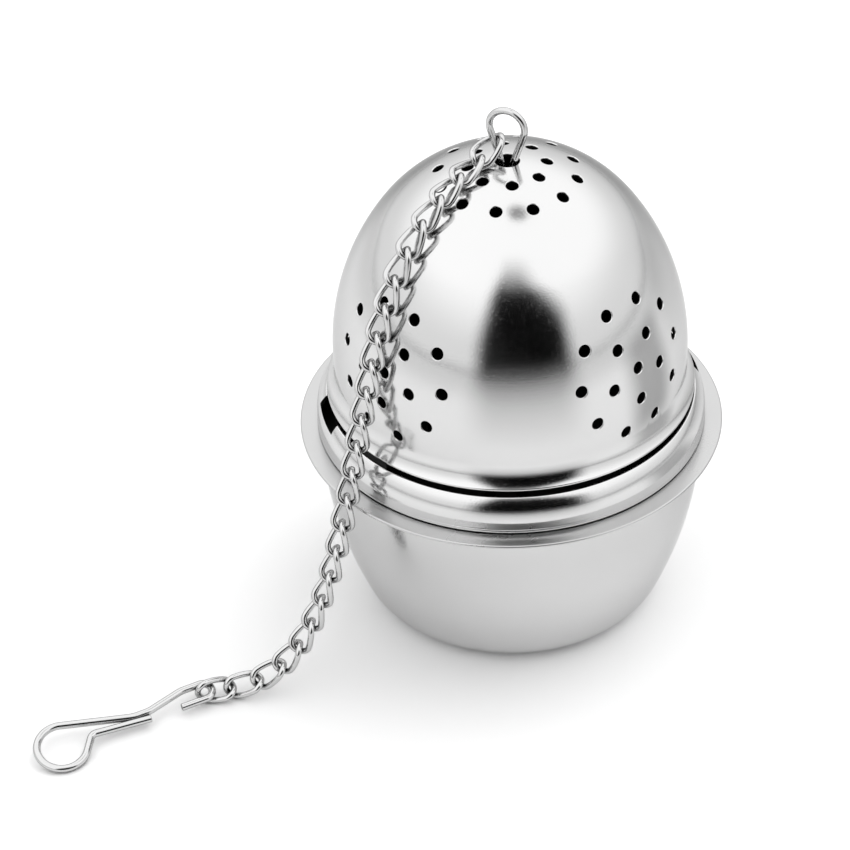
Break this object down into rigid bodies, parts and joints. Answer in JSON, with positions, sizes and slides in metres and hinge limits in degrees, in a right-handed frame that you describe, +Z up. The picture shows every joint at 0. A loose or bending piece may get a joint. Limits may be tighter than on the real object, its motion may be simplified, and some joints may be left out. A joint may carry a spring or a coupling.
{
  "type": "tea infuser",
  "caption": "Pierced steel tea infuser ball with a twist-lock dome, standing in a flanged drip cup, with a swivelling wire eye, curb chain and bent wire hook.",
  "frame": {"origin": "centre of the drip cup's flat base, on the table", "axes": "+Z up along the ball's axis, -Y towards the viewer of the picture, +X to the viewer's right"},
  "size_m": [0.0882, 0.0635, 0.0708],
  "materials": {
    "pressed_steel": "polished stainless sheet",
    "steel_wire": "bright drawn stainless wire"
  },
  "bodies": {
    "drip_cup": {"drip_cup": "pressed_steel"},
    "lower_cap": {"lower_cap": "pressed_steel"},
    "dome": {"dome": "pressed_steel"},
    "top_eye": {"top_eye": "steel_wire"},
    "link_1": {"link_1": "steel_wire"},
    "link_2": {"link_2": "steel_wire"},
    "link_3": {"link_3": "steel_wire"},
    "link_4": {"link_4": "steel_wire"},
    "link_5": {"link_5": "steel_wire"},
    "link_6": {"link_6": "steel_wire"},
    "link_7": {"link_7": "steel_wire"},
    "link_8": {"link_8": "steel_wire"},
    "link_9": {"link_9": "steel_wire"},
    "link_10": {"link_10": "steel_wire"},
    "link_11": {"link_11": "steel_wire"},
    "link_12": {"link_12": "steel_wire"},
    "link_13": {"link_13": "steel_wire"},
    "link_14": {"link_14": "steel_wire"},
    "link_15": {"link_15": "steel_wire"},
    "link_16": {"link_16": "steel_wire"},
    "link_17": {"link_17": "steel_wire"},
    "link_18": {"link_18": "steel_wire"},
    "link_19": {"link_19": "steel_wire"},
    "link_20": {"link_20": "steel_wire"},
    "link_21": {"link_21": "steel_wire"},
    "link_22": {"link_22": "steel_wire"},
    "link_23": {"link_23": "steel_wire"},
    "link_24": {"link_24": "steel_wire"},
    "end_hook": {"end_hook": "steel_wire"}
  },
  "joints": [
    {"name": "lift_out", "type": "slide", "parent": "drip_cup", "child": "lower_cap", "axis": [0, 0, 1], "range_m": [0, 0.04]},
    {"name": "twist_lock", "type": "hinge", "parent": "lower_cap", "child": "dome", "pos_m": [0, 0, 0.03162], "axis": [0, 0, -1], "range_deg": [0, 30]},
    {"name": "eye_swivel", "type": "hinge", "parent": "dome", "child": "top_eye", "pos_m": [0, 0, 0.06366], "axis": [0, 0, 1], "continuous": true},
    {"name": "link_1_lift", "type": "hinge", "parent": "top_eye", "child": "link_1", "pos_m": [-0.00111, 0.00101, 0.06608], "axis": [-0.6984, 0.7157, 0], "range_deg": [0, 25]},
    {"name": "link_2_swing", "type": "hinge", "parent": "link_1", "child": "link_2", "pos_m": [-0.0035, -0.00132, 0.06459], "axis": [-0.1755, -0.1712, 0.9695], "range_deg": [-20, 5]},
    {"name": "link_3_lift", "type": "hinge", "parent": "link_2", "child": "link_3", "pos_m": [-0.00604, -0.0038, 0.06369], "axis": [0.6984, -0.7157, 0], "range_deg": [-25, 0]},
    {"name": "link_4_swing", "type": "hinge", "parent": "link_3", "child": "link_4", "pos_m": [-0.00843, -0.00613, 0.06221], "axis": [0.3988, 0.3892, -0.8304], "range_deg": [-5, 20]},
    {"name": "link_5_lift", "type": "hinge", "parent": "link_4", "child": "link_5", "pos_m": [-0.0106, -0.00825, 0.06017], "axis": [-0.6984, 0.7157, 0], "range_deg": [0, 25]},
    {"name": "link_6_swing", "type": "hinge", "parent": "link_5", "child": "link_6", "pos_m": [-0.01249, -0.01009, 0.05764], "axis": [-0.5734, -0.5595, 0.5985], "range_deg": [-20, 5]},
    {"name": "link_7_lift", "type": "hinge", "parent": "link_6", "child": "link_7", "pos_m": [-0.01406, -0.01162, 0.05471], "axis": [0.6984, -0.7157, 0], "range_deg": [-25, 0]},
    {"name": "link_8_swing", "type": "hinge", "parent": "link_7", "child": "link_8", "pos_m": [-0.01536, -0.01289, 0.05154], "axis": [0.6564, 0.6405, -0.3986], "range_deg": [-5, 20]},
    {"name": "link_9_lift", "type": "hinge", "parent": "link_8", "child": "link_9", "pos_m": [-0.0164, -0.01391, 0.04819], "axis": [-0.6984, 0.7157, 0], "range_deg": [0, 25]},
    {"name": "link_10_swing", "type": "hinge", "parent": "link_9", "child": "link_10", "pos_m": [-0.0172, -0.01469, 0.0447], "axis": [-0.6853, -0.6687, 0.2885], "range_deg": [-20, 5]},
    {"name": "link_11_lift", "type": "hinge", "parent": "link_10", "child": "link_11", "pos_m": [-0.01796, -0.01543, 0.0412], "axis": [0.6984, -0.7157, 0], "range_deg": [-25, 0]},
    {"name": "link_12_swing", "type": "hinge", "parent": "link_11", "child": "link_12", "pos_m": [-0.01872, -0.01617, 0.03769], "axis": [0.6853, 0.6687, -0.2885], "range_deg": [-5, 20]},
    {"name": "link_13_lift", "type": "hinge", "parent": "link_12", "child": "link_13", "pos_m": [-0.01947, -0.0169, 0.03419], "axis": [-0.6984, 0.7157, 0], "range_deg": [0, 25]},
    {"name": "link_14_swing", "type": "hinge", "parent": "link_13", "child": "link_14", "pos_m": [-0.02023, -0.01764, 0.03068], "axis": [-0.6853, -0.6687, 0.2885], "range_deg": [-20, 5]},
    {"name": "link_15_lift", "type": "hinge", "parent": "link_14", "child": "link_15", "pos_m": [-0.02098, -0.01838, 0.02718], "axis": [0.6855, -0.728, 0], "range_deg": [-25, 0]},
    {"name": "link_16_swing", "type": "hinge", "parent": "link_15", "child": "link_16", "pos_m": [-0.02176, -0.01911, 0.02368], "axis": [0.7362, 0.6012, -0.3107], "range_deg": [-5, 20]},
    {"name": "link_17_lift", "type": "hinge", "parent": "link_16", "child": "link_17", "pos_m": [-0.02264, -0.01983, 0.0202], "axis": [-0.5664, 0.8241, 0], "range_deg": [0, 25]},
    {"name": "link_18_swing", "type": "hinge", "parent": "link_17", "child": "link_18", "pos_m": [-0.02366, -0.02053, 0.01676], "axis": [-0.8078, -0.4538, 0.3762], "range_deg": [-20, 5]},
    {"name": "link_19_lift", "type": "hinge", "parent": "link_18", "child": "link_19", "pos_m": [-0.02486, -0.02121, 0.01337], "axis": [0.4029, -0.9153, 0], "range_deg": [-25, 0]},
    {"name": "link_20_swing", "type": "hinge", "parent": "link_19", "child": "link_20", "pos_m": [-0.02632, -0.02185, 0.01007], "axis": [0.8111, 0.2652, -0.5213], "range_deg": [-5, 20]},
    {"name": "link_21_lift", "type": "hinge", "parent": "link_20", "child": "link_21", "pos_m": [-0.02813, -0.02244, 0.00695], "axis": [-0.2167, 0.9762, 0], "range_deg": [0, 15]},
    {"name": "link_22_swing", "type": "hinge", "parent": "link_21", "child": "link_22", "pos_m": [-0.03047, -0.02296, 0.0042], "axis": [-0.5311, -0.0732, 0.8442], "range_deg": [-20, 20]},
    {"name": "link_23_swing", "type": "hinge", "parent": "link_22", "child": "link_23", "pos_m": [-0.03352, -0.02338, 0.00225], "axis": [0.196, 0.0207, -0.9804], "range_deg": [-20, 20]},
    {"name": "link_24_swing", "type": "hinge", "parent": "link_23", "child": "link_24", "pos_m": [-0.03707, -0.02375, 0.00153], "axis": [0.0285, 0.005, 0.9996], "range_deg": [-20, 20]},
    {"name": "hook_turn", "type": "hinge", "parent": "link_24", "child": "end_hook", "pos_m": [-0.0411, -0.02458, 0.00163], "axis": [0, 0, 1], "range_deg": [-40, 40]}
  ]
}
